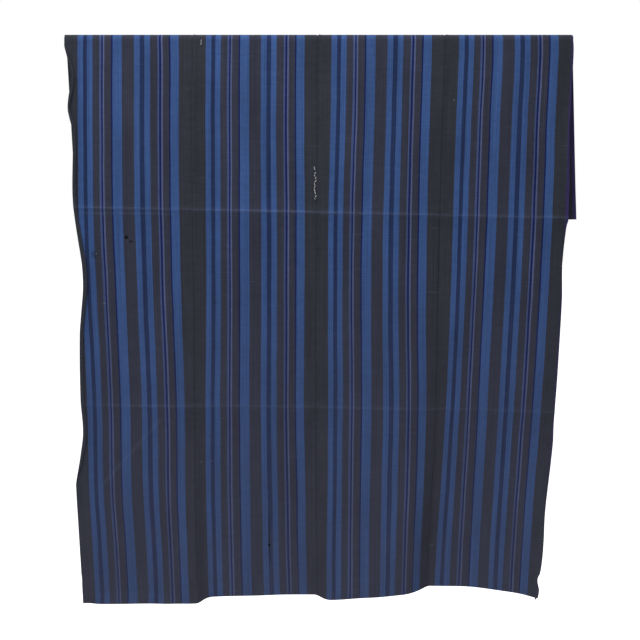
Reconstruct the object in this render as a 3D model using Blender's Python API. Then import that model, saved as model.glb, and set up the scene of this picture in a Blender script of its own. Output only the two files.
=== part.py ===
"""A striped cotton cloth of four loom strips, hung over a round rail that is not part of it.

The strips are sewn selvedge to selvedge. Each one runs from the short back hem up over the rail and
down to the front hem. Metres, +Z up. The front faces -Y, and the origin lies on the line where the
underside of the bend meets the top of the rail, at the middle seam.

Two numbers name a place on the cloth. "Across" is the distance from the left selvedge, measured on the
flat cloth. "Level" runs along it, from -1 at the back hem to 3 at the front hem, as listed below.
"""

import math

import bmesh
import bpy
from mathutils import Vector

# Cloth
THICKNESS = 0.0015
STRIP_WIDTH = 0.280
BAND_WIDTH = 0.009  # the last strip is wider by its selvedge band
STRIP_COUNT = 4
SEAM_GAP = 0.0004

# Rail line
RAIL_RADIUS = 0.0125
BEND_RADIUS = RAIL_RADIUS + THICKNESS / 2
BEND_END = -RAIL_RADIUS  # height where the bend runs out into the hanging panels

# Levels of the lines that cross the cloth, which the storage creases cut into quarters
BACK_HEM_LEVEL = -1.0
BEND_BACK_LEVEL = -0.2
BEND_FRONT_LEVEL = 0.2
FIRST_CREASE_LEVEL = 1.0
SECOND_CREASE_LEVEL = 2.0
FRONT_HEM_LEVEL = 3.0

# Faces of the mesh along each panel and across each strip
BACK_ROWS = 7
BEND_ROWS = 12
PANEL_ROWS = 13
COLUMNS = 10
ROLL_COLUMNS = 5

# Where each line of the cloth hangs: across | x of that line at each height of SECTION_HEIGHTS.
# The lines are the selvedges, the seams and the wide stripe near the middle of each strip.
SECTION_HEIGHTS = (0.000, -0.049, -0.187, -0.392, -0.589, -0.833, -1.014, -1.158, -1.279)
SECTIONS = {
    "left_selvedge": (0.0000, (-0.562, -0.555, -0.551, -0.543, -0.526, -0.533, -0.548, -0.544, -0.539)),
    "strip_1_stripe": (0.1035, (-0.459, -0.460, -0.460, -0.461, -0.455, -0.446, -0.444, -0.436, -0.431)),
    "seam_1": (0.2800, (-0.278, -0.278, -0.280, -0.281, -0.279, -0.278, -0.278, -0.276, -0.276)),
    "strip_2_stripe": (0.3835, (-0.176, -0.177, -0.178, -0.177, -0.177, -0.178, -0.177, -0.176, -0.172)),
    "seam_2": (0.5600, (0.000, 0.000, -0.001, -0.001, -0.001, -0.001, -0.001, -0.002, -0.002)),
    "strip_3_stripe": (0.6635, (0.104, 0.104, 0.101, 0.097, 0.097, 0.097, 0.096, 0.095, 0.093)),
    "seam_3": (0.8400, (0.281, 0.281, 0.277, 0.274, 0.270, 0.268, 0.259, 0.253, 0.249)),
    "strip_4_stripe": (0.9435, (0.389, 0.388, 0.382, 0.378, 0.373, 0.370, 0.362, 0.352, 0.349)),
    "right_selvedge": (1.1290, (0.569, 0.568, 0.562, 0.561, 0.551, 0.538, 0.523, 0.512, 0.500)),
}

# Soft vertical folds, deepest at the hem: across | width | step forward at the hem | height it begins at
FOLDS = {
    "left_margin": (0.060, 0.120, 0.010, -0.70),
    "behind_seam_1": (0.296, 0.050, -0.030, -0.45),
    "ahead_of_seam_2": (0.576, 0.050, 0.030, -0.40),
    "behind_seam_3": (0.815, 0.090, -0.052, -0.45),
    "right_swell": (1.020, 0.220, 0.055, -0.50),
}
SWING = 0.012  # the whole front hangs this far forward at the hem
SWING_BEGINS = -0.20
FOLD_GROWTH = 1.5

# Storage creases, seen as ridges: height at the left | at the middle | at the right | ridge height
FIRST_CREASE = (-0.381, -0.393, -0.405, 0.0035)
SECOND_CREASE = (-0.828, -0.833, -0.844, 0.0025)
CREASE_REACH = 0.020

# Front hem: across | height
FRONT_HEM = (
    (0.0000, -1.284),
    (0.1400, -1.281),
    (0.2750, -1.282),
    (0.3100, -1.276),
    (0.3835, -1.273),
    (0.5550, -1.269),
    (0.6000, -1.273),
    (0.6635, -1.271),
    (0.7200, -1.268),
    (0.8000, -1.259),
    (0.8400, -1.255),
    (0.9435, -1.255),
    (1.0200, -1.259),
    (1.0800, -1.262),
    (1.1290, -1.273),
)

# Back panel
BACK_HEM_LEFT = -0.418
BACK_HEM_RIGHT = -0.409
BACK_DRIFT = 0.014  # it hangs this far to the right of the front at its hem
BACK_BULGE = 0.005

# Rolled selvedges: how much cloth is rolled up at each height of SECTION_HEIGHTS
ROLL_RADIUS = 0.005
WIDEST_ROLL = 0.016
LEFT_ROLL_FORWARD = (0.004, 0.010, 0.011, 0.014, WIDEST_ROLL, 0.012, 0.002, 0.000, 0.000)
RIGHT_ROLL_BACK = (0.000, 0.000, 0.001, 0.002, 0.003, 0.004, 0.008, 0.010, 0.012)

CLOTH_WIDTH = STRIP_COUNT * STRIP_WIDTH + BAND_WIDTH
HEM_HEIGHT = min(height for _, height in FRONT_HEM)

# Colours of the strips, a little apart as their yarns are
STRIP_COLOURS = (
    (0.031, 0.047, 0.118, 1.0),
    (0.029, 0.044, 0.112, 1.0),
    (0.028, 0.045, 0.115, 1.0),
    (0.030, 0.046, 0.110, 1.0),
)
CLOTH_ROUGHNESS = 0.9


def clear_scene():
    """Remove every object the file starts with."""
    for obj in list(bpy.data.objects):
        bpy.data.objects.remove(obj, do_unlink=True)


def soft_step(value):
    """Rise smoothly from 0 to 1 as value goes from 0 to 1."""
    value = min(max(value, 0.0), 1.0)
    return value * value * (3.0 - 2.0 * value)


def smooth_curve(places, values, place):
    """Read a smooth curve through (places, values) at place; places rise from first to last."""
    last = len(places) - 1
    place = min(max(place, places[0]), places[last])
    index = 0
    while index < last - 1 and place > places[index + 1]:
        index += 1

    def slope(at):
        before = max(at - 1, 0)
        after = min(at + 1, last)
        return (values[after] - values[before]) / (places[after] - places[before])

    span = places[index + 1] - places[index]
    part = (place - places[index]) / span
    square = part * part
    cube = square * part
    return (
        (2 * cube - 3 * square + 1) * values[index]
        + (cube - 2 * square + part) * span * slope(index)
        + (3 * square - 2 * cube) * values[index + 1]
        + (cube - square) * span * slope(index + 1)
    )


def at_height(values, height):
    """Read one value for each of SECTION_HEIGHTS as a smooth curve at a height."""
    depths = [-level for level in SECTION_HEIGHTS]
    return smooth_curve(depths, values, -height)


def line_across(across, left, middle, right):
    """Height of a line that runs straight from the left selvedge to the middle and on to the right."""
    part = across / CLOTH_WIDTH
    if part < 0.5:
        return left + (middle - left) * part * 2.0
    return middle + (right - middle) * (part * 2.0 - 1.0)


def front_hem(across):
    """Height of the front hem."""
    places = [place for place, _ in FRONT_HEM]
    heights = [height for _, height in FRONT_HEM]
    return smooth_curve(places, heights, across)


def section_x(across, height):
    """Sideways place of a line of the cloth at one height, before its selvedges roll."""
    places = [place for place, _ in SECTIONS.values()]
    values = [at_height(column, height) for _, column in SECTIONS.values()]
    return smooth_curve(places, values, across)


def forward(across, height):
    """How far the front stands out from the plane it would hang in."""
    depth = SWING * growth(SWING_BEGINS, height)
    for place, width, step, begins in FOLDS.values():
        depth += step * growth(begins, height) * soft_step((across - place) / width + 0.5)
    for left, middle, right, ridge in (FIRST_CREASE, SECOND_CREASE):
        away = abs(height - line_across(across, left, middle, right))
        depth += ridge * math.exp(-away / CREASE_REACH)
    return depth


def growth(begins, height):
    """Grow from 0 where a fold begins to 1 at the hem."""
    part = (begins - height) / (begins - HEM_HEIGHT)
    return max(part, 0.0) ** FOLD_GROWTH


def roll_reach(roll):
    """How far a roll stands out sideways past the line where it starts."""
    return ROLL_RADIUS * math.sin(min(roll / ROLL_RADIUS, math.pi / 2))


def front_point(across, height):
    """A point of the front panel, with its rolled selvedges."""
    left_roll = max(at_height(LEFT_ROLL_FORWARD, height), 0.0)
    right_roll = max(at_height(RIGHT_ROLL_BACK, height), 0.0)
    first = left_roll
    last = CLOTH_WIDTH - right_roll
    flat = min(max(across, first), last)
    x = section_x(flat, height)
    if flat < STRIP_WIDTH:
        pull = section_x(0.0, height) + roll_reach(left_roll) - section_x(first, height)
        x += pull * (STRIP_WIDTH - flat) / (STRIP_WIDTH - first)
    last_seam = STRIP_WIDTH * (STRIP_COUNT - 1)
    if flat > last_seam:
        pull = section_x(CLOTH_WIDTH, height) - roll_reach(right_roll) - section_x(last, height)
        x += pull * (flat - last_seam) / (last - last_seam)
    y = -BEND_RADIUS - forward(flat, height)
    turn = (across - flat) / ROLL_RADIUS
    x += ROLL_RADIUS * math.sin(turn)
    y += ROLL_RADIUS * (1.0 - math.cos(turn)) * math.copysign(1.0, turn)
    return Vector((x, y, height))


def cloth_point(across, level):
    """The middle of the cloth's thickness at one place."""
    if level > BEND_FRONT_LEVEL:
        first = line_across(across, *FIRST_CREASE[:3])
        second = line_across(across, *SECOND_CREASE[:3])
        stops = (BEND_FRONT_LEVEL, FIRST_CREASE_LEVEL, SECOND_CREASE_LEVEL, FRONT_HEM_LEVEL)
        heights = (BEND_END, first, second, front_hem(across))
        for index in range(3):
            if level <= stops[index + 1] or index == 2:
                part = (level - stops[index]) / (stops[index + 1] - stops[index])
                height = heights[index] + (heights[index + 1] - heights[index]) * part
                return front_point(across, height)
    if level >= BEND_BACK_LEVEL:
        angle = level / BEND_FRONT_LEVEL * math.pi / 2
        height = BEND_END + BEND_RADIUS * math.cos(angle)
        top = front_point(across, BEND_END)
        depth = -top.y if level > 0 else BEND_RADIUS
        return Vector((top.x, -depth * math.sin(angle), height))
    part = (BEND_BACK_LEVEL - level) / (BEND_BACK_LEVEL - BACK_HEM_LEVEL)
    hem = BACK_HEM_LEFT + (BACK_HEM_RIGHT - BACK_HEM_LEFT) * across / CLOTH_WIDTH
    height = BEND_END + (hem - BEND_END) * part
    bulge = BACK_BULGE * math.sin(math.pi * part)
    top = front_point(across, BEND_END)
    return Vector((top.x + BACK_DRIFT * part, BEND_RADIUS + bulge, height))


def cloth_normal(across, level):
    """The direction out of the cloth's front face at one place."""
    small = 0.0005
    along_cloth = cloth_point(across, level + small) - cloth_point(across, level - small)
    over_cloth = cloth_point(across + small, level) - cloth_point(across - small, level)
    return along_cloth.cross(over_cloth).normalized()


def crowded(start, stop, count):
    """The places of count faces between start and stop, closer together near both, without the last."""
    parts = [(1.0 - math.cos(math.pi * index / count)) / 2 for index in range(count)]
    return [start + (stop - start) * part for part in parts]


def even(start, stop, count):
    """The places of count even faces between start and stop, without the last."""
    return [start + (stop - start) * index / count for index in range(count)]


def row_levels():
    """The level of every row of the mesh, closer together beside the creases."""
    rows = even(BACK_HEM_LEVEL, BEND_BACK_LEVEL, BACK_ROWS)
    rows += even(BEND_BACK_LEVEL, BEND_FRONT_LEVEL, BEND_ROWS)
    rows += crowded(BEND_FRONT_LEVEL, FIRST_CREASE_LEVEL, PANEL_ROWS)
    rows += crowded(FIRST_CREASE_LEVEL, SECOND_CREASE_LEVEL, PANEL_ROWS)
    rows += crowded(SECOND_CREASE_LEVEL, FRONT_HEM_LEVEL, PANEL_ROWS)
    return rows + [FRONT_HEM_LEVEL]


def column_places(index):
    """Where the columns of one strip's mesh lie across the cloth, closer together inside a roll."""
    start = STRIP_WIDTH * index
    stop = STRIP_WIDTH * (index + 1)
    if index == 0:
        roll = even(start, start + WIDEST_ROLL, ROLL_COLUMNS)
        return roll + crowded(start + WIDEST_ROLL, stop - SEAM_GAP / 2, COLUMNS) + [stop - SEAM_GAP / 2]
    start += SEAM_GAP / 2
    if index == STRIP_COUNT - 1:
        body = crowded(start, CLOTH_WIDTH - WIDEST_ROLL, COLUMNS)
        return body + even(CLOTH_WIDTH - WIDEST_ROLL, CLOTH_WIDTH, ROLL_COLUMNS) + [CLOTH_WIDTH]
    return crowded(start, stop - SEAM_GAP / 2, COLUMNS) + [stop - SEAM_GAP / 2]


def strip_mesh(name, index):
    """One loom strip as a closed sheet of even thickness."""
    rows = row_levels()
    columns = column_places(index)
    shell = bmesh.new()
    bmesh.ops.create_grid(shell, x_segments=len(columns) - 1, y_segments=len(rows) - 1, size=0.5)
    back = bmesh.ops.extrude_face_region(shell, geom=shell.faces[:], use_keep_orig=True)
    behind = {item for item in back["geom"] if isinstance(item, bmesh.types.BMVert)}
    for vert in shell.verts:
        column = round((vert.co.x + 0.5) * (len(columns) - 1))
        row = round((vert.co.y + 0.5) * (len(rows) - 1))
        point = cloth_point(columns[column], rows[row])
        out = cloth_normal(columns[column], rows[row]) * (THICKNESS / 2)
        vert.co = point - out if vert in behind else point + out
    bmesh.ops.recalc_face_normals(shell, faces=shell.faces[:])
    if shell.calc_volume(signed=True) < 0:
        bmesh.ops.reverse_faces(shell, faces=shell.faces[:])
    mesh = bpy.data.meshes.new(name)
    shell.to_mesh(mesh)
    shell.free()
    mesh.shade_smooth()
    return mesh


def cloth_material(name, colour):
    """A dull woven cotton in one colour."""
    material = bpy.data.materials.new(name)
    material.use_nodes = True
    shader = material.node_tree.nodes["Principled BSDF"]
    shader.inputs["Base Color"].default_value = colour
    shader.inputs["Roughness"].default_value = CLOTH_ROUGHNESS
    shader.inputs["Metallic"].default_value = 0.0
    return material


def make_strips():
    """The four strips, side by side with a fine gap at each seam."""
    for index in range(STRIP_COUNT):
        name = f"strip_{index + 1}"
        strip = bpy.data.objects.new(name, strip_mesh(name, index))
        bpy.context.scene.collection.objects.link(strip)
        strip.data.materials.append(cloth_material(f"{name}_cotton", STRIP_COLOURS[index]))


clear_scene()
make_strips()
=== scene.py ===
"""A striped cotton cloth of four loom strips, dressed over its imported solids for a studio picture.

Sizes are metres, +Z is up and the front faces -Y. Two numbers name a place on the cloth. "Across" is the
distance from the left selvedge on the flat cloth. "Level" runs along it, from -1 at the back hem, over
the bend at 0, to 1 and 2 at the storage creases and 3 at the front hem. A place on one strip is named by
its distance from that strip's own left selvedge, and by its height.
"""

import logging
import math
from dataclasses import dataclass, field
from enum import Enum

import bpy
import numpy as np
from mathutils import Matrix, Vector


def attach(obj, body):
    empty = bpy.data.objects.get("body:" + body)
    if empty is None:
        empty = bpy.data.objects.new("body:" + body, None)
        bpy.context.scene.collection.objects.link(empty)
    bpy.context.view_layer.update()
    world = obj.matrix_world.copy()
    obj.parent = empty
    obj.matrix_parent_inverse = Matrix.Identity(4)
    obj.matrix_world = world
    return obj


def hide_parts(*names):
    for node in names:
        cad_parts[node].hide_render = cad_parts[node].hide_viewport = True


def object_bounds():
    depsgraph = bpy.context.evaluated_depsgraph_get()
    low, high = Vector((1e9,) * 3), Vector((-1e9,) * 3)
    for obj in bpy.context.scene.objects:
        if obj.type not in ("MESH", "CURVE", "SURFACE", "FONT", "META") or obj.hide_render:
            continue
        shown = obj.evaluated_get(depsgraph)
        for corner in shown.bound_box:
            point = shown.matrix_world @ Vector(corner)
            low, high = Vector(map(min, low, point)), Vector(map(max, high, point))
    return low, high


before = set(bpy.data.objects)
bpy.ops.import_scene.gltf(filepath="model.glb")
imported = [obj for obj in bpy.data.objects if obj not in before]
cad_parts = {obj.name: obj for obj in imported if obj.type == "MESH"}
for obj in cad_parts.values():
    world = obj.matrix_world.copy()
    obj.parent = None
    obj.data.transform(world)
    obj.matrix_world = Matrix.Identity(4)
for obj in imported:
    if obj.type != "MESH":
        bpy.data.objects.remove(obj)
cad_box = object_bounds()

log = logging.getLogger("striped_cloth")

Array = np.ndarray
Colour = tuple[float, float, float]
Knots = tuple[tuple[float, float], ...]

BODY = "root"
CLOTH_MAP = "cloth"
# Point attribute for the crests of the creases, which are painted paler: partly wear, partly a painted highlight
RUBBED_AND_HIGHLIT = "rubbed_and_highlit"


def shade(red: int, green: int, blue: int) -> Colour:
    """Turn a display colour, 0 to 255, into the linear colour that a shader takes.

    Args:
        red: Display red.
        green: Display green.
        blue: Display blue.

    Returns:
        The linear red, green and blue.
    """
    def linear(value: int) -> float:
        """One channel."""
        part = value / 255
        return part / 12.92 if part <= 0.04045 else ((part + 0.055) / 1.055) ** 2.4

    return linear(red), linear(green), linear(blue)


def soft_step(value: Array) -> Array:
    """Rise smoothly from 0 to 1 as value goes from 0 to 1."""
    value = np.clip(value, 0.0, 1.0)
    return value * value * (3.0 - 2.0 * value)


def smooth_curve(places: Array, values: Array, place: Array) -> Array:
    """Read a smooth curve through its knots.

    Args:
        places: Rising places of the knots.
        values: The value at each knot, or a row of values there, one for each place that is read.
        place: The places to read.

    Returns:
        One value for each place.
    """
    places = np.asarray(places, float)
    values = np.asarray(values, float)
    place = np.clip(place, places[0], places[-1])
    count = np.arange(len(places))
    before = np.maximum(count - 1, 0)
    after = np.minimum(count + 1, len(places) - 1)
    reach = places[after] - places[before]
    slopes = ((values[after] - values[before]).T / reach).T
    index = np.searchsorted(places[1:-1], place)
    span = places[index + 1] - places[index]
    part = (place - places[index]) / span
    square = part * part
    cube = square * part

    def pick(table: Array, knot: Array) -> Array:
        """The table's value at each place's own knot."""
        return table[knot] if table.ndim == 1 else table[knot, np.arange(place.size)]

    return (
        (2 * cube - 3 * square + 1) * pick(values, index)
        + (cube - 2 * square + part) * span * pick(slopes, index)
        + (3 * square - 2 * cube) * pick(values, index + 1)
        + (cube - square) * span * pick(slopes, index + 1)
    )


def through(knots: Knots, place: Array, falling: bool = False) -> Array:
    """Read a smooth curve through (place, value) pairs.

    Args:
        knots: The pairs, with their places rising, or falling as heights do.
        place: The places to read.
        falling: True where the places fall.

    Returns:
        One value for each place.
    """
    turn = -1.0 if falling else 1.0
    places = np.array([knot[0] for knot in knots]) * turn
    values = np.array([knot[1] for knot in knots])
    return smooth_curve(places, values, place * turn)


def graded(bands: tuple[tuple[float, float, int], ...]) -> Array:
    """Places along a line, evenly spaced within each band.

    Args:
        bands: Where each band starts and stops, and how many faces it holds.

    Returns:
        The places, both ends included.
    """
    places = [np.linspace(start, stop, faces, endpoint=False) for start, stop, faces in bands]
    return np.append(np.concatenate(places), bands[-1][1])


@dataclass(frozen=True)
class VerticalFold:
    """A soft fold that deepens from where it begins down to the hem."""

    across: float
    width: float
    step: float
    begins: float


@dataclass(frozen=True)
class StorageCrease:
    """A line that the folded cloth was pressed along: a soft swell with a sharp edge on it."""

    left: float
    middle: float
    right: float
    swell: float
    edge: float
    strength: Knots


@dataclass(frozen=True)
class Wrinkle:
    """A ridge, or a trough where it goes back, along a straight run between two places."""

    across: float
    height: float
    across_end: float
    height_end: float
    forward: float
    breadth: float


@dataclass(frozen=True)
class Pinch:
    """A spot where the cloth is drawn in."""

    across: float
    height: float
    reach: float
    forward: float


@dataclass(frozen=True)
class Sway:
    """One slow wave of the hanging cloth."""

    across_length: float
    height_length: float
    start: float
    forward: float


@dataclass(frozen=True)
class Roll:
    """A selvedge that has curled up into a tube. It holds the cloth that its outline leaves no room for."""

    smallest: float = 0.0034
    growth: float = 0.052
    pitch: float = 0.0021
    most: float = 0.046

    def held(self, spare: Array) -> Array:
        """Find how much cloth the roll holds.

        Args:
            spare: How much wider the flat cloth is than the room it has.

        Returns:
            The length of cloth in the roll.
        """
        lengths = np.linspace(0.0, self.most, 400)
        return np.interp(spare, lengths - self.reach(lengths), lengths)

    def radius(self, held: Array) -> Array:
        """The outer radius of the roll."""
        return self.smallest + self.growth * held

    def reach(self, held: Array) -> Array:
        """How far the roll stands out sideways past the line where it starts."""
        return self.radius(held) * np.sin(np.minimum(held / self.radius(held), math.pi / 2))

    def offsets(self, length: Array, held: Array) -> tuple[Array, Array]:
        """Follow the cloth round the roll.

        Args:
            length: How far round the roll the cloth has gone.
            held: How much cloth the whole roll holds.

        Returns:
            How far sideways and how far off the flat cloth it lies there.
        """
        outer = self.radius(held)
        inner = np.maximum(outer * outer - self.pitch * length / math.pi, 1e-8)
        turn = (outer - np.sqrt(inner)) * 2 * math.pi / self.pitch
        radius = outer - self.pitch * turn / (2 * math.pi)
        return radius * np.sin(turn), outer - radius * np.cos(turn)


@dataclass(frozen=True)
class Drape:
    """The shape in which the whole cloth hangs, as the solids have it and with its finer creases."""

    strip_width: float = 0.280
    band_width: float = 0.009
    strip_count: int = 4
    rail_radius: float = 0.0125
    bend_radius: float = 0.01325
    swing: float = 0.012
    swing_begins: float = -0.20
    fold_growth: float = 1.5
    lowest_hem: float = -1.284
    swell_reach: float = 0.020
    edge_reach: float = 0.0022
    back_hem_left: float = -0.418
    back_hem_right: float = -0.409
    back_drift: float = 0.014
    back_bulge: float = 0.005
    section_heights: tuple[float, ...] = (
        0.000, -0.049, -0.187, -0.392, -0.589, -0.833, -1.014, -1.158, -1.279,
    )
    # Where the edges of stripes hang: across | x at each of the section heights, in millimetres
    sections: tuple[tuple[float, tuple[float, ...]], ...] = (
        (0.0510, (-511.5, -512.5, -513.5, -515.0, -509.5, -501.0, -499.5, -492.5, -486.5)),
        (0.1088, (-453.5, -454.0, -455.5, -456.0, -451.0, -443.5, -442.0, -434.0, -428.5)),
        (0.2509, (-308.5, -308.0, -310.0, -310.0, -307.0, -301.0, -300.5, -296.5, -292.5)),
        (0.3095, (-248.0, -248.5, -250.5, -251.0, -251.5, -254.5, -255.0, -253.5, -251.0)),
        (0.3888, (-170.0, -171.0, -172.0, -172.5, -173.0, -175.0, -174.5, -173.0, -170.5)),
        (0.5309, (-28.5, -29.0, -30.0, -29.5, -30.0, -31.0, -28.5, -27.0, -24.5)),
        (0.5895, (31.0, 30.5, 28.5, 24.0, 23.0, 23.5, 22.5, 20.5, 19.5)),
        (0.6688, (109.5, 109.5, 107.0, 102.0, 100.5, 102.0, 99.5, 98.5, 98.5)),
        (0.8109, (254.0, 253.0, 249.5, 245.5, 244.0, 245.5, 241.5, 235.5, 232.0)),
        (0.8695, (313.5, 313.5, 309.0, 303.5, 299.0, 291.0, 282.0, 274.0, 269.0)),
        (0.9488, (392.0, 392.0, 387.0, 382.0, 376.0, 367.0, 360.0, 354.0, 350.5)),
        (1.0909, (534.5, 535.0, 530.0, 525.5, 518.0, 505.5, 492.5, 483.5, 477.5)),
    )
    drawn_in: float = 0.97
    # Outline of the left side: height | x
    left_side: Knots = (
        (0.000, -0.562), (-0.022, -0.561), (-0.055, -0.553), (-0.095, -0.547), (-0.161, -0.555),
        (-0.214, -0.545), (-0.347, -0.547), (-0.401, -0.543), (-0.455, -0.535), (-0.508, -0.527),
        (-0.562, -0.525), (-0.616, -0.530), (-0.671, -0.535), (-0.807, -0.535), (-0.889, -0.530),
        (-0.944, -0.537), (-1.027, -0.550), (-1.110, -0.545), (-1.193, -0.542), (-1.230, -0.537),
        (-1.284, -0.541),
    )
    # Outline of the right side: height | x
    right_side: Knots = (
        (0.000, 0.566), (-0.022, 0.569), (-0.055, 0.569), (-0.143, 0.566), (-0.214, 0.564),
        (-0.365, 0.564), (-0.405, 0.563), (-0.428, 0.558), (-0.508, 0.551), (-0.589, 0.551),
        (-0.698, 0.546), (-0.780, 0.542), (-0.862, 0.536), (-0.916, 0.534), (-1.026, 0.522),
        (-1.081, 0.517), (-1.136, 0.515), (-1.181, 0.512), (-1.214, 0.507), (-1.224, 0.502),
        (-1.236, 0.502), (-1.250, 0.505), (-1.266, 0.503), (-1.276, 0.500),
    )
    left_roll: Roll = Roll()
    right_roll: Roll = Roll(smallest=0.0028)
    pressed_flat: float = 0.5
    front_hem: Knots = (
        (0.0000, -1.284), (0.1400, -1.281), (0.2750, -1.282), (0.3100, -1.276), (0.3835, -1.273),
        (0.5550, -1.269), (0.6000, -1.273), (0.6635, -1.271), (0.7200, -1.268), (0.8000, -1.259),
        (0.8400, -1.255), (0.9435, -1.255), (1.0200, -1.259), (1.0800, -1.262), (1.1290, -1.273),
    )
    folds: tuple[VerticalFold, ...] = (
        VerticalFold(0.060, 0.120, 0.010, -0.70),
        VerticalFold(0.296, 0.050, -0.030, -0.45),
        VerticalFold(0.576, 0.050, 0.030, -0.40),
        VerticalFold(0.815, 0.090, -0.052, -0.45),
        VerticalFold(1.020, 0.220, 0.055, -0.50),
    )
    first_crease: StorageCrease = StorageCrease(
        -0.381, -0.393, -0.405, 0.0035, 0.0011,
        ((0.00, 0.7), (0.10, 0.9), (0.25, 0.6), (0.45, 1.3), (0.58, 1.1), (0.80, 0.7), (1.13, 0.8)),
    )
    second_crease: StorageCrease = StorageCrease(
        -0.828, -0.833, -0.844, 0.0025, 0.0006,
        ((0.00, 0.6), (0.15, 1.2), (0.26, 1.3), (0.45, 0.8), (0.60, 1.0), (0.85, 0.6), (1.13, 0.7)),
    )
    wrinkles: tuple[Wrinkle, ...] = (
        Wrinkle(0.010, -0.394, 0.262, -0.397, 0.0009, 0.0024),
        Wrinkle(0.036, -1.041, 0.212, -0.842, 0.0014, 0.0022),
        Wrinkle(0.120, -0.432, 0.152, -0.464, -0.0012, 0.0030),
        Wrinkle(0.130, -0.470, 0.150, -0.420, 0.0007, 0.0040),
        Wrinkle(0.236, -0.806, 0.282, -0.856, 0.0012, 0.0040),
        Wrinkle(0.270, -0.812, 0.258, -0.870, 0.0010, 0.0035),
        Wrinkle(0.290, -0.830, 0.296, -0.890, -0.0010, 0.0050),
        Wrinkle(0.200, -0.800, 0.215, -0.850, 0.0008, 0.0050),
        Wrinkle(0.538, -0.826, 0.552, -0.872, 0.0011, 0.0040),
        Wrinkle(0.560, -0.836, 0.548, -0.890, -0.0009, 0.0040),
        Wrinkle(0.500, -0.262, 0.556, -0.272, -0.0009, 0.0040),
        Wrinkle(0.470, -0.292, 0.545, -0.296, -0.0010, 0.0040),
        Wrinkle(0.640, -0.266, 0.690, -0.270, -0.0007, 0.0040),
        Wrinkle(0.845, -0.150, 0.905, -0.156, 0.0006, 0.0040),
        Wrinkle(1.035, -0.080, 1.065, -0.120, 0.0006, 0.0030),
        Wrinkle(0.985, -0.270, 1.100, -0.262, 0.0008, 0.0080),
    )
    pinches: tuple[Pinch, ...] = (
        Pinch(0.1345, -0.4480, 0.0050, -0.0022),
        Pinch(0.0675, -0.4860, 0.0035, -0.0010),
        Pinch(0.0800, -0.5960, 0.0030, 0.0008),
        Pinch(0.5560, -0.3200, 0.0100, -0.0010),
    )
    sways: tuple[Sway, ...] = (
        Sway(0.310, 1.900, 0.4, 0.0018),
        Sway(0.173, -0.830, 2.1, 0.0011),
        Sway(0.460, 0.370, 4.0, 0.0009),
        Sway(-0.240, 0.290, 1.3, 0.0006),
        Sway(0.094, 0.610, 5.2, 0.0004),
        Sway(0.620, 0.140, 3.1, 0.0004),
    )
    pucker_length: float = 0.019
    pucker_forward: float = 0.0005
    pucker_reach: float = 0.013
    flare_forward: float = 0.0065
    flare_height: float = 0.030
    flare_ends: tuple[float, float] = (0.012, 0.235)

    @property
    def width(self) -> float:
        """Width of the flat cloth."""
        return self.strip_count * self.strip_width + self.band_width

    @property
    def bend_end(self) -> float:
        """Height where the bend runs out into the hanging panels."""
        return -self.rail_radius

    def crease_height(self, crease: StorageCrease, across: Array) -> Array:
        """Height of a crease, which runs straight from each selvedge to the middle."""
        part = across / self.width
        left = crease.left + (crease.middle - crease.left) * part * 2.0
        right = crease.middle + (crease.right - crease.middle) * (part * 2.0 - 1.0)
        return np.where(part < 0.5, left, right)

    def growth(self, begins: float, height: Array) -> Array:
        """Grow from 0 where a fold begins to 1 at the lowest hem."""
        part = (begins - height) / (begins - self.lowest_hem)
        return np.maximum(part, 0.0) ** self.fold_growth

    def flat_x(self, across: Array, height: Array) -> Array:
        """Sideways place of the cloth with its selvedges unrolled.

        Args:
            across: Places across the cloth.
            height: Their heights.

        Returns:
            The x of each place.
        """
        drops = -np.array(self.section_heights)
        places = np.array([place for place, _ in self.sections])
        columns = [smooth_curve(drops, np.array(column) / 1000, -height) for _, column in self.sections]
        past_left = np.minimum(across - places[0], 0.0)
        past_right = np.maximum(across - places[-1], 0.0)
        return smooth_curve(places, np.array(columns), across) + self.drawn_in * (past_left + past_right)

    def rolled(self, height: Array) -> tuple[Array, Array]:
        """How much cloth the two rolls hold at each height."""
        zero = np.zeros_like(height)
        left = through(self.left_side, height, falling=True) - self.flat_x(zero, height)
        right = self.flat_x(zero + self.width, height) - through(self.right_side, height, falling=True)
        return self.left_roll.held(left), self.right_roll.held(right)

    # The crests found here are painted paler in the weave: partly wear, partly a painted highlight
    def pressed(self, across: Array, height: Array) -> Array:
        """How close each place is to a sharp crease, from 0 to 1 on its crest."""
        found = np.zeros_like(across)
        for crease in (self.first_crease, self.second_crease):
            away = np.abs(height - self.crease_height(crease, across))
            strength = through(crease.strength, across) * crease.edge / self.first_crease.edge
            found = np.maximum(found, strength * np.exp(-away / self.edge_reach))
        for wrinkle in self.wrinkles[:2]:
            found = np.maximum(found, 0.7 * self.along(wrinkle, across, height))
        return np.clip(found, 0.0, 1.0)

    def along(self, wrinkle: Wrinkle, across: Array, height: Array) -> Array:
        """How much of one wrinkle reaches each place, from 0 to 1.

        Args:
            wrinkle: The wrinkle.
            across: Places across the cloth.
            height: Their heights.

        Returns:
            The share of the wrinkle's height at each place.
        """
        run = wrinkle.across_end - wrinkle.across
        rise = wrinkle.height_end - wrinkle.height
        length = math.hypot(run, rise)
        from_start = across - wrinkle.across
        up_start = height - wrinkle.height
        part = (from_start * run + up_start * rise) / length ** 2
        inside = np.clip(part, 0.0, 1.0)
        away = np.hypot(from_start - inside * run, up_start - inside * rise)
        ends = soft_step(np.minimum(inside, 1.0 - inside) * 5.0)
        return ends * np.exp(-away / wrinkle.breadth)

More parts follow.
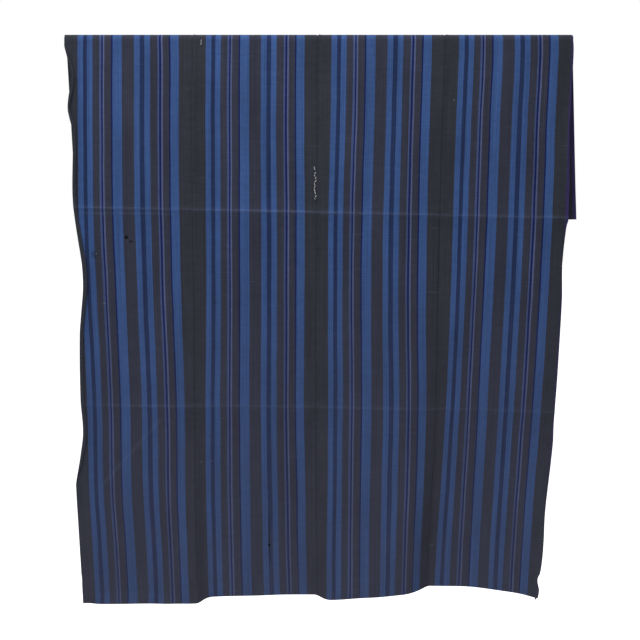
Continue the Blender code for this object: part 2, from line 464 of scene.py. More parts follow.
    def fine_relief(self, across: Array, height: Array) -> Array:
        """How far the small creases, puckers and waves bring the front forward.

        Args:
            across: Places across the cloth.
            height: Their heights.

        Returns:
            The distance forward at each place.
        """
        depth = np.zeros_like(across)
        for crease in (self.first_crease, self.second_crease):
            away = np.abs(height - self.crease_height(crease, across))
            depth += crease.edge * through(crease.strength, across) * np.exp(-away / self.edge_reach)
        for wrinkle in self.wrinkles:
            depth += wrinkle.forward * self.along(wrinkle, across, height)
        for pinch in self.pinches:
            away = np.hypot(across - pinch.across, height - pinch.height)
            depth += pinch.forward * np.exp(-((away / pinch.reach) ** 2))
        settled = soft_step((self.bend_end - height) / 0.10)
        for sway in self.sways:
            phase = across / sway.across_length + height / sway.height_length
            depth += settled * sway.forward * np.sin(2 * math.pi * phase + sway.start)
        for seam in range(1, self.strip_count):
            away = np.abs(across - seam * self.strip_width)
            wander = 1.0 + 0.5 * np.sin(height * 37.0 + seam)
            wave = np.sin(2 * math.pi * height / self.pucker_length + 5.0 * np.sin(height * 23.0))
            depth += self.pucker_forward * wander * wave * np.exp(-((away / self.pucker_reach) ** 2))
        start, stop = self.flare_ends
        within = soft_step((across - start) / 0.03) * soft_step((stop - across) / 0.05)
        hem = through(self.front_hem, across)
        depth += self.flare_forward * within * soft_step(1.0 - (height - hem) / self.flare_height)
        return depth

    def forward(self, across: Array, height: Array) -> Array:
        """How far the front stands out from the plane it would hang in.

        Args:
            across: Places across the cloth.
            height: Their heights.

        Returns:
            The distance forward at each place.
        """
        depth = self.swing * self.growth(self.swing_begins, height)
        for fold in self.folds:
            rise = soft_step((across - fold.across) / fold.width + 0.5)
            depth += fold.step * self.growth(fold.begins, height) * rise
        for crease in (self.first_crease, self.second_crease):
            away = np.abs(height - self.crease_height(crease, across))
            depth += crease.swell * np.exp(-away / self.swell_reach)
        return depth + self.fine_relief(across, height)

    def place(self, across: Array, level: Array) -> tuple[Array, Array, Array]:
        """Find where the middle of the cloth's thickness lies.

        Args:
            across: Places across the cloth.
            level: Their levels.

        Returns:
            The points, the directions out of the cloth's outer face there, and the heights at which the
            stripes and marks are read, which run on past the bend as a distance along the cloth.
        """
        first = self.crease_height(self.first_crease, across)
        second = self.crease_height(self.second_crease, across)
        hem = through(self.front_hem, across)
        end = np.full_like(across, self.bend_end)
        height = np.select(
            [level <= 0.2, level <= 1.0, level <= 2.0],
            [end, end + (first - end) * (level - 0.2) / 0.8, first + (second - first) * (level - 1.0)],
            second + (hem - second) * (level - 2.0),
        )
        left, right = self.rolled(height)
        over = np.clip((0.2 - level) / 0.4, 0.0, 1.0)
        part = np.clip((-0.2 - level) / 0.8, 0.0, 1.0)
        left = left + (0.006 - left) * (0.3 * over + 0.7 * part)
        right = right * (1.0 - 0.3 * over - 0.7 * part)
        flat = np.clip(across, left, self.width - right)
        x = self.flat_x(flat, height)
        front_y = -self.bend_radius - self.forward(flat, height)
        angle = np.clip(level / 0.2, -1.0, 1.0) * math.pi / 2
        depth = np.where(level > 0, -front_y, self.bend_radius)
        bulge = self.back_bulge * np.sin(math.pi * part)
        back_hem = self.back_hem_left + (self.back_hem_right - self.back_hem_left) * across / self.width
        y = np.where(level >= 0.2, front_y, -depth * np.sin(angle) + bulge)
        bend_z = self.bend_end + self.bend_radius * np.cos(angle)
        z = np.where(level >= 0.2, height, np.where(part > 0, end + (back_hem - end) * part, bend_z))
        x = x + self.back_drift * part
        out = np.stack([np.zeros_like(x), -np.sin(angle), np.cos(angle)], axis=1)
        side, rise = self.left_roll.offsets(left - np.minimum(across, left), left)
        press = self.pressed_flat * soft_step(1.5 - np.abs(level) * 4.0)
        x = x - side * (1.0 + 0.4 * press)
        rise = rise * (1.0 - press)
        points = np.stack([x, y, z], axis=1) + out * rise[:, None]
        side, rise = self.right_roll.offsets(np.maximum(across - self.width + right, 0.0), right)
        points[:, 0] += side
        points -= out * rise[:, None]
        round_bend = self.bend_radius * (math.pi / 2 - angle)
        along = np.where(level >= 0.2, height, self.bend_end + round_bend)
        along = np.where(part > 0, self.bend_end + math.pi * self.bend_radius + (end - back_hem) * part, along)
        return points, out, along


class Yarn(Enum):
    """The dyed yarns of the warp."""

    BLACK = "black"
    CHARCOAL = "charcoal"
    BLUE = "blue"
    NAVY = "navy"
    DEEP = "deep"
    DULL = "dull"
    PALE = "pale"
    PURPLE = "purple"


# The warp of one strip, from its left selvedge: width | yarn
WARP_ORDER = (
    (0.0295, Yarn.BLACK),
    (0.0125, Yarn.BLUE),
    (0.0090, Yarn.NAVY),
    (0.0125, Yarn.BLUE),
    (0.0150, Yarn.CHARCOAL),
    (0.0040, Yarn.DULL),
    (0.0044, Yarn.DEEP),
    (0.0031, Yarn.PALE),
    (0.0140, Yarn.CHARCOAL),
    (0.0043, Yarn.DEEP),
    (0.0200, Yarn.BLUE),
    (0.0255, Yarn.CHARCOAL),
    (0.0132, Yarn.BLUE),
    (0.0095, Yarn.NAVY),
    (0.0130, Yarn.BLUE),
    (0.0150, Yarn.CHARCOAL),
    (0.0036, Yarn.DULL),
    (0.0051, Yarn.DEEP),
    (0.0032, Yarn.PALE),
    (0.0130, Yarn.CHARCOAL),
    (0.0040, Yarn.DEEP),
    (0.0175, Yarn.BLUE),
    (0.0291, Yarn.BLACK),
    (0.0090, Yarn.PURPLE),
)


@dataclass(frozen=True)
class Mark:
    """A stain, fleck or rub on one strip, or the painted shade of a torn hole: where it is, how far it reaches
    and what it does to the colour.
    """

    strip: int
    across: float
    height: float
    wide: float
    long: float
    colour: Colour
    strength: float


# Near black, for dark stains and for the painted shade of the torn hole on the first strip
DARK_STAIN_AND_HOLE_SHADE = (0.004, 0.004, 0.006)
PALE_RUB = (0.16, 0.18, 0.20)
MARKS = (
    # The first two marks are painted shade: the torn hole and its slit, painted near black; the others are stains
    # and pale flecks
    Mark(1, 0.1345, -0.4485, 0.0055, 0.0050, DARK_STAIN_AND_HOLE_SHADE, 0.95),
    Mark(1, 0.1440, -0.4580, 0.0060, 0.0030, DARK_STAIN_AND_HOLE_SHADE, 0.70),
    Mark(1, 0.0675, -0.4850, 0.0022, 0.0030, PALE_RUB, 0.75),
    Mark(1, 0.0640, -0.4870, 0.0080, 0.0100, DARK_STAIN_AND_HOLE_SHADE, 0.35),
    Mark(1, 0.0805, -0.5970, 0.0030, 0.0022, PALE_RUB, 0.60),
    Mark(2, 0.1695, -1.1530, 0.0032, 0.0050, DARK_STAIN_AND_HOLE_SHADE, 0.95),
    Mark(2, 0.1693, -1.1360, 0.0016, 0.0700, DARK_STAIN_AND_HOLE_SHADE, 0.60),
    Mark(2, 0.0189, -0.9590, 0.0014, 0.0020, PALE_RUB, 0.55),
    Mark(2, 0.0443, -0.9578, 0.0014, 0.0018, PALE_RUB, 0.55),
    Mark(4, 0.0235, -0.1433, 0.0018, 0.0020, PALE_RUB, 0.80),
    Mark(4, 0.0140, -1.1570, 0.0130, 0.0010, PALE_RUB, 0.35),
)


class NodeBench:
    """Adds and joins the nodes of one material."""

    def __init__(self, name: str) -> None:
        """Start a material with an empty shader.

        Args:
            name: The material's name.
        """
        self.material = bpy.data.materials.new(name)
        self.material.use_nodes = True
        self.tree = self.material.node_tree
        self.shader = self.tree.nodes["Principled BSDF"]

    def feed(self, socket: bpy.types.NodeSocket, source: object) -> None:
        """Give a socket its value, or join it to another socket."""
        if isinstance(source, bpy.types.NodeSocket):
            self.tree.links.new(source, socket)
        elif isinstance(source, tuple) and len(source) == 3 and socket.type == "RGBA":
            socket.default_value = (*source, 1.0)
        else:
            socket.default_value = source

    def math(self, kind: str, *sources: object) -> bpy.types.NodeSocket:
        """Add a Math node.

        Args:
            kind: The operation.
            sources: Its inputs, as numbers or sockets.

        Returns:
            Its result.
        """
        node = self.tree.nodes.new("ShaderNodeMath")
        node.operation = kind
        for socket, source in zip(node.inputs, sources):
            self.feed(socket, source)
        return node.outputs[0]

    def point(self, x: object, y: object, z: object) -> bpy.types.NodeSocket:
        """Join three values into a place."""
        node = self.tree.nodes.new("ShaderNodeCombineXYZ")
        for socket, source in zip(node.inputs, (x, y, z)):
            self.feed(socket, source)
        return node.outputs[0]

    def noise(self, place: object, scale: float, detail: float = 2.0) -> bpy.types.NodeSocket:
        """Add a noise pattern.

        Args:
            place: Where it is read.
            scale: How fine it is.
            detail: How many finer layers it has.

        Returns:
            Its value, about 0.5 on average.
        """
        node = self.tree.nodes.new("ShaderNodeTexNoise")
        self.feed(node.inputs["Vector"], place)
        node.inputs["Scale"].default_value = scale
        node.inputs["Detail"].default_value = detail
        return node.outputs[0]

    def span(self, value: object, low: float, high: float, to_low: float, to_high: float) -> bpy.types.NodeSocket:
        """Turn one range of values into another, held at both ends.

        Args:
            value: The value.
            low: Start of its range.
            high: End of its range.
            to_low: What the start becomes.
            to_high: What the end becomes.

        Returns:
            The new value.
        """
        node = self.tree.nodes.new("ShaderNodeMapRange")
        for name, source in (
            ("Value", value), ("From Min", low), ("From Max", high), ("To Min", to_low), ("To Max", to_high),
        ):
            self.feed(node.inputs[name], source)
        return node.outputs[0]

    def tint(self, blend: str, share: object, first: object, second: object) -> bpy.types.NodeSocket:
        """Blend two colours.

        Args:
            blend: How they blend.
            share: How much of the second there is.
            first: The first colour.
            second: The second colour.

        Returns:
            The blended colour.
        """
        node = self.tree.nodes.new("ShaderNodeMix")
        node.data_type = "RGBA"
        node.blend_type = blend
        self.feed(node.inputs["Factor"], share)
        self.feed(node.inputs[6], first)
        self.feed(node.inputs[7], second)
        return node.outputs[2]

    def grey(self, value: object) -> bpy.types.NodeSocket:
        """Make a grey of a value, to multiply a colour by."""
        node = self.tree.nodes.new("ShaderNodeCombineColor")
        for socket in node.inputs:
            self.feed(socket, value)
        return node.outputs[0]

    def bump(self, height: object, strength: float, distance: float) -> None:
        """Raise the surface by a pattern."""
        node = self.tree.nodes.new("ShaderNodeBump")
        node.inputs["Strength"].default_value = strength
        node.inputs["Distance"].default_value = distance
        self.feed(node.inputs["Height"], height)
        self.feed(self.shader.inputs["Normal"], node.outputs[0])

    def set(self, name: str, value: object) -> None:
        """Give one of the shader's own sockets its value."""
        self.feed(self.shader.inputs[name], value)


@dataclass(frozen=True)
class StripedCotton:
    """The dull, warp-striped weave, with its unequal yarns, slubs, marks, a greyer tone towards the hem, and
    creases whose crests are painted paler, partly as wear and partly as a painted highlight.
    """

    black: Colour = shade(49, 51, 60)
    charcoal: Colour = shade(51, 53, 67)
    blue: Colour = shade(56, 82, 131)
    navy: Colour = shade(34, 47, 82)
    deep: Colour = shade(21, 31, 79)
    dull: Colour = shade(64, 78, 118)
    pale: Colour = shade(80, 89, 124)
    purple: Colour = shade(54, 47, 88)
    # Pale colour for slubs and lint, and for the crests of the creases, where it is partly wear and partly a
    # painted highlight
    rubbed_and_highlit: Colour = shade(120, 135, 170)
    # A grey-blue that the colours are mixed towards, more strongly the lower the place, down to the hem
    hem_grey: Colour = shade(70, 71, 87)
    greying_from: float = 0.45
    greying_share: float = 0.42
    roughness: float = 0.95
    sheen: float = 0.05
    warp_pitch: float = 0.00075
    weft_pitch: float = 0.0011
    stripe_wander: float = 0.0011

    def yarn_colour(self, yarn: Yarn) -> Colour:
        """The colour of one yarn."""
        return getattr(self, yarn.value)

    def stripes(self, bench: NodeBench, across: object, width: float) -> bpy.types.NodeSocket:
        """Lay the warp's stripes across a strip.

        Args:
            bench: The material's nodes.
            across: Distance from the strip's left selvedge.
            width: Width of the strip with its selvedge band.

        Returns:
            The stripes' colour.
        """
        node = bench.tree.nodes.new("ShaderNodeValToRGB")
        ramp = node.color_ramp
        ramp.interpolation = "CONSTANT"
        start = 0.0
        for index, (band, yarn) in enumerate(WARP_ORDER):
            stop = ramp.elements[index] if index < 2 else ramp.elements.new(start / width)
            stop.position = start / width
            stop.color = (*self.yarn_colour(yarn), 1.0)
            start += band
        bench.feed(node.inputs["Fac"], bench.math("DIVIDE", across, width))
        return node.outputs["Color"]

    def marked(self, bench: NodeBench, colour: object, across: object, drop: object, strip: int) -> object:
        """Lay a strip's stains, flecks and rubs, and the painted shade of its torn hole, over its colour.

        Args:
            bench: The material's nodes.
            colour: The colour without them.
            across: Distance from the strip's left selvedge.
            drop: Distance below the top.
            strip: The strip's number.

        Returns:
            The marked colour.
        """
        for mark in (mark for mark in MARKS if mark.strip == strip):
            wide = bench.math("DIVIDE", bench.math("SUBTRACT", across, mark.across), mark.wide)
            long = bench.math("DIVIDE", bench.math("ADD", drop, mark.height), mark.long)
            away = bench.math("ADD", bench.math("POWER", bench.math("ABSOLUTE", wide), 2.0),
                              bench.math("POWER", bench.math("ABSOLUTE", long), 2.0))
            share = bench.span(away, 0.3, 1.0, mark.strength, 0.0)
            colour = bench.tint("MIX", share, colour, mark.colour)
        return colour

    def material(self, strip: int, width: float) -> bpy.types.Material:
        """Make the weave of one strip.

        Args:
            strip: The strip's number.
            width: Its width with its selvedge band.

        Returns:
            The material.
        """
        bench = NodeBench(f"striped_cotton_{strip}")
        uv = bench.tree.nodes.new("ShaderNodeUVMap")
        uv.uv_map = CLOTH_MAP
        parts = bench.tree.nodes.new("ShaderNodeSeparateXYZ")
        bench.feed(parts.inputs[0], uv.outputs[0])
        across, drop = parts.outputs[0], parts.outputs[1]
        own = strip * 3.7

        def read(across_length: float, drop_length: float, detail: float = 2.0, shift: float = 0.0) -> object:
            """Noise whose grain is so wide and so long."""
            place = bench.point(
                bench.math("DIVIDE", across, across_length), bench.math("DIVIDE", drop, drop_length), own + shift
            )
            return bench.noise(place, 1.0, detail)

        wander = bench.math("MULTIPLY", bench.math("SUBTRACT", read(0.05, 0.12), 0.5), self.stripe_wander * 2)
        colour = self.stripes(bench, bench.math("ADD", across, wander), width)
        yarns = bench.span(read(0.0011, 0.35, 2.0, 1.1), 0.25, 0.75, 0.74, 1.26)
        wefts = bench.span(read(0.060, 0.0016, 2.0, 2.3), 0.25, 0.75, 0.90, 1.10)
        dye = bench.span(read(0.045, 0.160, 3.0, 3.1), 0.25, 0.75, 0.88, 1.12)
        cloudy = bench.span(read(0.014, 0.010, 3.0, 4.9), 0.25, 0.75, 0.93, 1.07)
        value = bench.math("MULTIPLY", bench.math("MULTIPLY", yarns, wefts), bench.math("MULTIPLY", dye, cloudy))
        colour = bench.tint("MULTIPLY", 1.0, colour, bench.grey(value))
        slubs = bench.span(read(0.050, 0.0030, 1.0, 5.3), 0.72, 0.82, 0.0, 0.12)
        colour = bench.tint("MIX", slubs, colour, self.rubbed_and_highlit)
        lint = bench.span(read(0.0014, 0.0022, 2.0, 6.7), 0.74, 0.82, 0.0, 0.30)
        colour = bench.tint("MIX", lint, colour, self.rubbed_and_highlit)
        # Mix the colours towards a paler grey-blue, unevenly, more so lower down towards the hem
        greying = bench.span(drop, self.greying_from, 1.284, 0.0, self.greying_share)
        greying = bench.math("MULTIPLY", greying, bench.span(read(0.030, 0.060, 3.0, 8.3), 0.3, 0.7, 0.75, 1.25))
        colour = bench.tint("MIX", greying, colour, self.hem_grey)
        # Paint the crests of the creases paler, unevenly: partly rubbed wear, partly a painted highlight
        rubbed_and_highlit = bench.tree.nodes.new("ShaderNodeAttribute")
        rubbed_and_highlit.attribute_name = RUBBED_AND_HIGHLIT
        worn_and_highlit = bench.math("MULTIPLY", rubbed_and_highlit.outputs["Fac"], bench.span(read(0.006, 0.02, 2.0, 7.9), 0.3, 0.7, 0.05, 0.22))
        colour = bench.tint("MIX", worn_and_highlit, colour, self.rubbed_and_highlit)
        colour = self.marked(bench, colour, across, drop, strip)
        bench.set("Base Color", colour)
        bench.set("Roughness", self.roughness)
        bench.set("Specular IOR Level", 0.15)
        bench.set("Sheen Weight", self.sheen)
        bench.set("Sheen Roughness", 0.45)
        bench.set("Sheen Tint", (*shade(200, 208, 235), 1.0))
        warp = bench.math("SINE", bench.math("MULTIPLY", across, 2 * math.pi / self.warp_pitch))
        weft = bench.math("SINE", bench.math("MULTIPLY", drop, 2 * math.pi / self.weft_pitch))
        weave = bench.math("MULTIPLY", bench.math("MULTIPLY", warp, weft), 0.25)
        ribs = bench.math("ADD", weave, bench.math("MULTIPLY", bench.math("SUBTRACT", wefts, 1.0), 3.0))
        cords = bench.math("ADD", ribs, bench.math("MULTIPLY", bench.math("SUBTRACT", yarns, 1.0), 0.8))
        bench.bump(bench.math("ADD", cords, bench.math("MULTIPLY", slubs, 2.0)), 0.55, 0.00030)
        return bench.material


@dataclass(frozen=True)
class Thread:
    """A twisted cotton sewing thread."""

    name: str
    colour: Colour
    roughness: float = 0.85
    twist_pitch: float = 0.0012

    def material(self) -> bpy.types.Material:
        """Make the thread's finish.

        Returns:
            The material.
        """
        bench = NodeBench(self.name)
        place = bench.tree.nodes.new("ShaderNodeTexCoord").outputs["Object"]
        parts = bench.tree.nodes.new("ShaderNodeSeparateXYZ")
        bench.feed(parts.inputs[0], place)
        slant = bench.math("ADD", parts.outputs[0], parts.outputs[2])
        turns = bench.math("SINE", bench.math("MULTIPLY", slant, 2 * math.pi / self.twist_pitch))
        fuzz = bench.noise(place, 900.0, 3.0)
        value = bench.math("ADD", bench.span(turns, -1.0, 1.0, 0.75, 1.1), bench.math("MULTIPLY", fuzz, 0.2))
        bench.set("Base Color", bench.tint("MULTIPLY", 1.0, self.colour, bench.grey(value)))
        bench.set("Roughness", self.roughness)
        bench.set("Sheen Weight", 0.1)
        bench.bump(bench.math("ADD", turns, fuzz), 0.5, 0.00015)
        return bench.material


@dataclass
class LoomStrip:
    """One loom strip of the cloth, laid as a thin sheet on its solid's folds."""

    number: int
    drape: Drape
    cotton: StripedCotton
    thickness: float = 0.0012
    lap_back: float = 0.0016
    lap_forward: float = 0.0003
    lap_turn: float = 0.0030
    lap_starts: float = 0.0012

    @property
    def name(self) -> str:
        """Name of the sheet."""
        return f"cloth_{self.number}"

    @property
    def left(self) -> float:
        """Where the strip's left selvedge lies across the cloth."""
        return (self.number - 1) * self.drape.strip_width

    @property
    def width(self) -> float:
        """Width of the strip with its selvedge band, which laps under the next strip."""
        return self.drape.strip_width + self.drape.band_width

    def columns(self) -> Array:
        """Where the columns of faces lie across the strip, close together in rolls and laps."""
        if self.number == 1:
            return graded(((0.0, 0.045, 36), (0.045, 0.276, 60), (0.276, self.width, 8)))
        start = (self.lap_starts, 0.012, 8)
        if self.number == self.drape.strip_count:
            return graded((start, (0.012, 0.262, 60), (0.262, self.width, 22)))
        return graded((start, (0.012, 0.276, 62), (0.276, self.width, 8)))

    def rows(self) -> Array:
        """The levels of the rows of faces, close together at the bend, the creases and the hem."""
        diagonal = 76 if self.number == 1 else 42
        return graded((
            (-1.0, -0.2, 78), (-0.2, 0.2, 22), (0.2, 0.96, 70), (0.96, 1.04, 26), (1.04, 1.96, 82),
            (1.96, 2.05, 28), (2.05, 2.5, diagonal), (2.5, 2.93, 40), (2.93, 3.0, 16),
        ))

    def lap(self, across: Array) -> Array:
        """How far the strip stands out, or in where its neighbour covers it, at its two selvedges.

        Args:
            across: Distance from the strip's left selvedge.

        Returns:
            The distance out of the cloth's face.
        """
        out = np.zeros_like(across)
        if self.number > 1:
            out += self.lap_forward * (1.0 - soft_step((across - 0.006) / 0.006))
        if self.number < self.drape.strip_count:
            out -= self.lap_back * soft_step((across - self.drape.strip_width + 0.0018) / self.lap_turn)
        return out

    def build(self) -> bpy.types.Object:
        """Make the sheet.

        Returns:
            The sheet's object.
        """
        columns, rows = self.columns(), self.rows()
        across = np.tile(columns, len(rows))
        level = np.repeat(rows, len(columns))
        points, out, along = self.drape.place(across + self.left, level)
        points += out * self.lap(across)[:, None]
        first = np.arange((len(rows) - 1) * len(columns)).reshape(-1, len(columns))[:, :-1].ravel()
        corners = (first, first + len(columns), first + len(columns) + 1, first + 1)
        faces = np.stack(corners, axis=1)
        mesh = bpy.data.meshes.new(self.name)
        mesh.from_pydata(points.tolist(), [], faces.tolist())
        layer = mesh.uv_layers.new(name=CLOTH_MAP)
        corner = faces.ravel()
        layer.uv.foreach_set("vector", np.stack([across[corner], -along[corner]], axis=1).ravel())
        # Crests of the creases, to be painted paler: partly wear, partly a painted highlight
        worn_and_highlit = np.where(level > 0.2, self.drape.pressed(across + self.left, along), 0.0)
        rubbed_and_highlit = mesh.attributes.new(RUBBED_AND_HIGHLIT, "FLOAT", "POINT")
        rubbed_and_highlit.data.foreach_set("value", worn_and_highlit)
        sheet = bpy.data.objects.new(self.name, mesh)
        bpy.context.scene.collection.objects.link(sheet)
        self.thicken(sheet)
        return sheet

    def thicken(self, sheet: bpy.types.Object) -> None:
        """Give the sheet its thickness and smooth faces, with sharp cut edges."""
        bpy.ops.object.select_all(action="DESELECT")
        bpy.context.view_layer.objects.active = sheet
        sheet.select_set(True)
        shell = sheet.modifiers.new("thickness", "SOLIDIFY")
        shell.thickness = self.thickness
        shell.offset = 0.0
        bpy.ops.object.modifier_apply(modifier=shell.name)
        bpy.ops.object.shade_smooth_by_angle(angle=math.radians(55))

    def dress(self) -> bpy.types.Object:
        """Make the sheet, give it its weave and set it in the frame in place of its solid.

        Returns:
            The finished sheet.
        """
        sheet = self.build()
        sheet.data.materials.append(self.cotton.material(self.number, self.width))
        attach(sheet, BODY)
        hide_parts(f"strip_{self.number}")
        log.info("%s: %d faces", sheet.name, len(sheet.data.polygons))
        return sheet


@dataclass(frozen=True)
class Stitch:
    """One stitch on the front: where its middle lies, its length and its slant from upright."""

    across: float
    height: float
    length: float
    slant: float


@dataclass
class Sewing:
    """Stitches on the cloth, copied from one modelled thread and joined into one piece for each row."""

    drape: Drape
    thread_radius: float = 0.00038
    bury: float = 0.35

    def one_stitch(self) -> bpy.types.Object:
        """Model a stitch of unit length that rises from the cloth and dips back into it.

        Returns:
            The stitch, lying along +Y with the cloth's outer face towards +Z.
        """
        bpy.ops.object.select_all(action="DESELECT")
        bpy.ops.mesh.primitive_cylinder_add(
            vertices=6, radius=self.thread_radius, depth=0.6, rotation=(math.pi / 2, 0.0, 0.0)
        )
        stitch = bpy.context.object
        bpy.ops.object.transform_apply(location=False, rotation=True, scale=False)
        bpy.ops.object.mode_set(mode="EDIT")
        bpy.ops.mesh.select_mode(type="FACE")
        for side in (-1.0, 1.0):
            bpy.ops.mesh.select_all(action="DESELECT")
            bpy.ops.object.mode_set(mode="OBJECT")
            for face in stitch.data.polygons:
                face.select = face.normal.y * side > 0.9
            bpy.ops.object.mode_set(mode="EDIT")
            bpy.ops.mesh.extrude_region_move(
                TRANSFORM_OT_translate={"value": (0.0, side * 0.2, -2.2 * self.thread_radius)}
            )
            bpy.ops.transform.resize(value=(0.55, 0.55, 0.55))
        bpy.ops.object.mode_set(mode="OBJECT")
        bpy.ops.object.shade_smooth()
        return stitch

    def basis(self, across: Array, level: Array) -> tuple[Array, Array, Array, Array]:
        """Find the cloth's own directions at some places.

        Args:
            across: Places across the cloth.
            level: Their levels.

        Returns:
            The points, and the directions across, along towards the back hem, and out.
        """
        step = 0.0004
        points, _, _ = self.drape.place(across, level)
        right = self.drape.place(across + step, level)[0] - self.drape.place(across - step, level)[0]
        up = self.drape.place(across, level - step)[0] - self.drape.place(across, level + step)[0]
        right /= np.linalg.norm(right, axis=1)[:, None]
        up -= right * np.sum(right * up, axis=1)[:, None]
        up /= np.linalg.norm(up, axis=1)[:, None]
        return points, right, up, np.cross(right, up)

    def lay(self, name: str, across: Array, level: Array, length: Array, slant: Array, lift: Array,
            side: Array, thread: Thread) -> bpy.types.Object:
        """Copy the stitch to each place and join the copies.

        Args:
            name: Name of the piece.
            across: Places across the cloth.
            level: Their levels.
            length: Length of each stitch.
            slant: How far each leans from along the cloth, in radians.
            lift: How far the cloth's face is from the drape there.
            side: 1 for the outer face and -1 for the inner one.
            thread: The thread's finish.

        Returns:
            The joined stitches.
        """
        model = self.one_stitch()
        points, right, up, out = self.basis(across, level)
        made = []
        for index in range(len(across)):
            lean = math.cos(slant[index]), math.sin(slant[index])
            run = Vector(up[index] * lean[0] + right[index] * lean[1])
            face = Vector(out[index]) * side[index]
            cross = run.cross(face)
            at = Vector(points[index]) + face * (lift[index] + self.thread_radius * self.bury)
            turn = Matrix((cross, run * length[index], face)).transposed().to_4x4()
            copy = model.copy()
            copy.data = model.data.copy()
            copy.data.transform(Matrix.Translation(at) @ turn)
            bpy.context.scene.collection.objects.link(copy)
            made.append(copy)
        bpy.data.objects.remove(model)
        bpy.ops.object.select_all(action="DESELECT")
        for copy in made:
            copy.select_set(True)
        bpy.context.view_layer.objects.active = made[0]
        bpy.ops.object.join()
        piece = bpy.context.object
        piece.name = name
        piece.data.materials.clear()
        piece.data.materials.append(thread.material())
        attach(piece, BODY)
        log.info("%s: %d stitches", name, len(made))
        return piece

    def level_of(self, across: Array, height: Array) -> Array:
        """The levels of some heights on the front."""
        first = self.drape.crease_height(self.drape.first_crease, across)
        second = self.drape.crease_height(self.drape.second_crease, across)
        hem = through(self.drape.front_hem, across)
        end = self.drape.bend_end
        return np.select(
            [height >= first, height >= second],
            [0.2 + 0.8 * (height - end) / (first - end), 1.0 + (height - first) / (second - first)],
            2.0 + (height - second) / (hem - second),
        )


@dataclass
class SeamSewing(Sewing):
    """The running stitches that join two strips where one laps over the other."""

    pitch: float = 0.0075
    length: float = 0.0046
    from_edge: float = 0.0045
    surface: float = 0.0009

    def dress(self, seam: int, thread: Thread) -> bpy.types.Object:
        """Sew one seam from the back hem to the front hem.

        Args:
            seam: Number of the seam, from the left.
            thread: Its thread.

        Returns:
            The stitches.
        """
        metres_per_level = 0.42
        count = int(4.0 * metres_per_level / self.pitch)
        step = np.arange(2 * count)
        level = -0.99 + (step + 0.5) / (2 * count) * 3.98
        level += 0.0015 * np.sin(step * 2.399 + seam)
        side = np.where(step % 2 == 0, 1.0, -1.0)
        line = seam * self.drape.strip_width + self.from_edge
        across = line + 0.0007 * np.sin(step * 0.31 + seam) + 0.0003 * np.sin(step * 1.7)
        length = self.length * (1.0 + 0.15 * np.sin(step * 1.31 + seam))
        slant = 0.10 + 0.10 * np.sin(step * 0.77 + 2.0 * seam)
        lift = np.where(side > 0, self.surface, self.surface + 0.0013)
        return self.lay(f"seam_sewing_{seam}", across, level, length, slant, lift, side, thread)


@dataclass
class HandMend(Sewing):
    """A few stitches put in by hand on the front, each at its own place and slant."""

    name: str = "mend"
    surface: float = 0.0010
    stitches: tuple[Stitch, ...] = ()

    def dress(self, thread: Thread) -> bpy.types.Object:
        """Lay the stitches.

        Args:
            thread: Their thread.

        Returns:
            The stitches.
        """
        across = np.array([stitch.across for stitch in self.stitches])
        height = np.array([stitch.height for stitch in self.stitches])
        length = np.array([stitch.length for stitch in self.stitches])
        slant = np.radians([stitch.slant for stitch in self.stitches])
        lift = np.full_like(across, self.surface)
        level = self.level_of(across, height)
        return self.lay(self.name, across, level, length, slant, lift, np.ones_like(across), thread)


# Mending stitches on the middle seam: across | height | length | slant
SEAM_MEND = (
    Stitch(0.5555, -0.2950, 0.0100, -18.0),
    Stitch(0.5575, -0.3050, 0.0050, 35.0),
    Stitch(0.5560, -0.3110, 0.0060, -30.0),
    Stitch(0.5585, -0.3165, 0.0055, 40.0),
    Stitch(0.5580, -0.3235, 0.0075, 38.0),
    Stitch(0.5560, -0.3300, 0.0055, -35.0),
    Stitch(0.5565, -0.3360, 0.0065, 30.0),
    Stitch(0.5570, -0.3470, 0.0150, -14.0),
    Stitch(0.5590, -0.3570, 0.0050, 25.0),
    Stitch(0.5570, -0.3620, 0.0035, -20.0),
)
# Stitches at the top of the first seam: across | height | length | slant
TOP_MEND = (
    Stitch(0.3000, -0.0115, 0.0045, 20.0),
    Stitch(0.3005, -0.0165, 0.0035, -25.0),
    Stitch(0.2998, -0.0205, 0.0040, 15.0),
)


@dataclass
class LooseEnd:
    """A short stray length of yarn, swept along a few given points."""

    name: str
    radius: float
    points: tuple[tuple[float, float, float], ...]

    def dress(self, thread: Thread) -> bpy.types.Object:
        """Sweep the yarn and set it in the frame.

        Args:
            thread: Its finish.

        Returns:
            The yarn.
        """
        bpy.ops.object.select_all(action="DESELECT")
        bpy.ops.curve.primitive_bezier_curve_add()
        yarn = bpy.context.object
        spline = yarn.data.splines[0]
        spline.bezier_points.add(len(self.points) - 2)
        for knot, place in zip(spline.bezier_points, self.points):
            knot.co = place
            knot.handle_left_type = knot.handle_right_type = "AUTO"
            knot.radius = 1.0
        spline.bezier_points[-1].radius = 0.35
        yarn.data.resolution_u = 6
        yarn.data.bevel_depth = self.radius
        yarn.data.bevel_resolution = 2
        yarn.data.use_fill_caps = True
        bpy.ops.object.convert(target="MESH")
        yarn = bpy.context.object
        yarn.name = self.name
        yarn.data.materials.clear()
        yarn.data.materials.append(thread.material())
        bpy.ops.object.shade_smooth()
        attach(yarn, BODY)
        log.info("%s: %d faces", self.name, len(yarn.data.polygons))
        return yarn


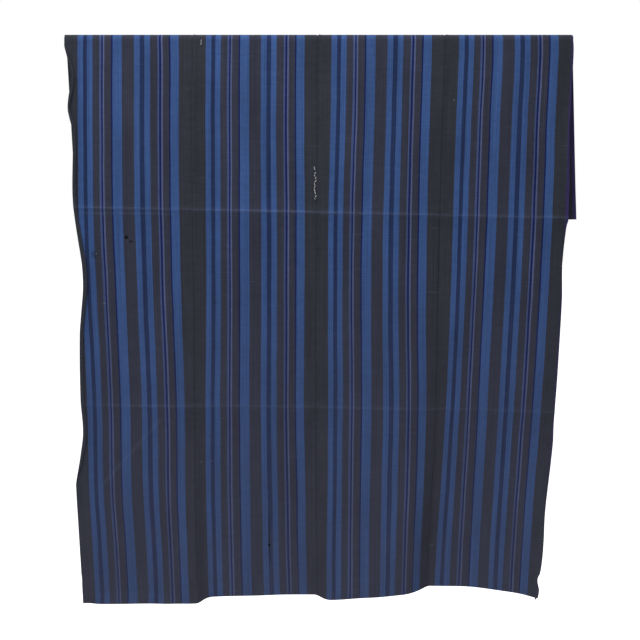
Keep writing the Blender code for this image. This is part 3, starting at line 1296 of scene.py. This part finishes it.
@dataclass
class Studio:
    """The plain pale floor, the soft lights and the camera."""

    floor_drop: float = 0.60
    floor_size: float = 60.0
    target: Colour = (0.006, 0.0, -0.636)
    camera_distance: float = 3.2
    pitch: float = 5.0
    lens: float = 79.45

    def lay_floor(self, lowest: float) -> None:
        """Lay the floor below the cloth."""
        bpy.ops.object.select_all(action="DESELECT")
        bpy.ops.mesh.primitive_plane_add(size=self.floor_size, location=(0.0, 0.0, lowest - self.floor_drop))
        floor = bpy.context.object
        floor.name = "pale_floor"
        bench = NodeBench("pale_paper")
        bench.set("Base Color", shade(240, 240, 242))
        bench.set("Roughness", 0.9)
        bench.set("Emission Color", (1.0, 1.0, 1.0, 1.0))
        bench.set("Emission Strength", bench.tree.nodes.new("ShaderNodeLightPath").outputs["Is Camera Ray"])
        floor.data.materials.append(bench.material)

    def add_light(self, name: str, place: Colour, aim: Colour, size: Colour, watts: float) -> None:
        """Add one soft light.

        Args:
            name: Its name.
            place: Where it stands.
            aim: The place it faces.
            size: Its width and height, and how far its light spreads.
            watts: Its power.
        """
        bpy.ops.object.light_add(type="AREA", location=place)
        lamp = bpy.context.object
        lamp.name = name
        lamp.rotation_euler = (Vector(aim) - Vector(place)).to_track_quat("-Z", "Y").to_euler()
        lamp.data.shape = "RECTANGLE"
        lamp.data.size, lamp.data.size_y, lamp.data.spread = size
        lamp.data.energy = watts
        lamp.visible_camera = False

    def light(self) -> None:
        """Light the cloth softly from the front and brightly from just behind its top."""
        world = bpy.data.worlds.new("white_room")
        bpy.context.scene.world = world
        world.use_nodes = True
        tree = world.node_tree
        room = tree.nodes["Background"]
        room.inputs["Color"].default_value = (1.0, 1.0, 1.0, 1.0)
        seen = tree.nodes.new("ShaderNodeLightPath").outputs["Is Camera Ray"]
        strength = tree.nodes.new("ShaderNodeMapRange")
        strength.inputs["To Min"].default_value = 0.25
        strength.inputs["To Max"].default_value = 1.0
        tree.links.new(seen, strength.inputs["Value"])
        tree.links.new(strength.outputs[0], room.inputs["Strength"])
        wide = math.radians(180)
        self.add_light("front_softbox", (-0.4, -1.6, 0.9), (0.0, 0.0, -0.5), (1.8, 0.9, wide), 31.0)
        self.add_light("top_strip", (0.0, -0.12, 1.25), (0.0, 0.0, 0.0), (2.4, 0.30, wide), 14.0)
        self.add_light("low_bounce", (0.0, -1.0, -1.75), (0.0, 0.0, -1.25), (2.0, 0.5, wide), 3.2)
        self.add_light("back_softbox", (0.6, 1.9, 1.2), (0.0, 0.0, -0.3), (1.6, 0.8, wide), 32.0)

    def set_camera(self) -> None:
        """Set the camera where the photograph was taken from."""
        tilt = math.radians(self.pitch)
        back = Vector((0.0, -math.cos(tilt), math.sin(tilt))) * self.camera_distance
        place = Vector(self.target) + back
        bpy.ops.object.camera_add(location=place, rotation=(math.pi / 2 - tilt, 0.0, 0.0))
        camera = bpy.context.object
        camera.name = "picture_camera"
        camera.data.lens = self.lens
        camera.data.sensor_width = 36.0
        camera.data.clip_end = 200.0
        scene = bpy.context.scene
        scene.camera = camera
        scene.view_settings.view_transform = "Standard"

    def build(self, lowest: float) -> None:
        """Set up the studio.

        Args:
            lowest: Height of the lowest point of the cloth.
        """
        self.set_camera()
        self.lay_floor(lowest)
        self.light()
        log.info("studio ready")


def main() -> None:
    """Build the studio, the four strips and what is sewn into them."""
    logging.basicConfig(level=logging.INFO, format="%(name)s %(message)s")
    Studio().build(cad_box[0].z)
    drape = Drape()
    cotton = StripedCotton()
    for number in range(1, drape.strip_count + 1):
        LoomStrip(number, drape, cotton).dress()
    dark_thread = Thread("dark_thread", shade(40, 38, 48))
    white_thread = Thread("white_thread", shade(225, 225, 222))
    for seam in range(1, drape.strip_count):
        SeamSewing(drape).dress(seam, dark_thread)
    HandMend(drape, thread_radius=0.00055, name="seam_mend", stitches=SEAM_MEND).dress(white_thread)
    HandMend(drape, thread_radius=0.00045, name="top_mend", stitches=TOP_MEND).dress(white_thread)


if __name__ == "__main__":
    main()
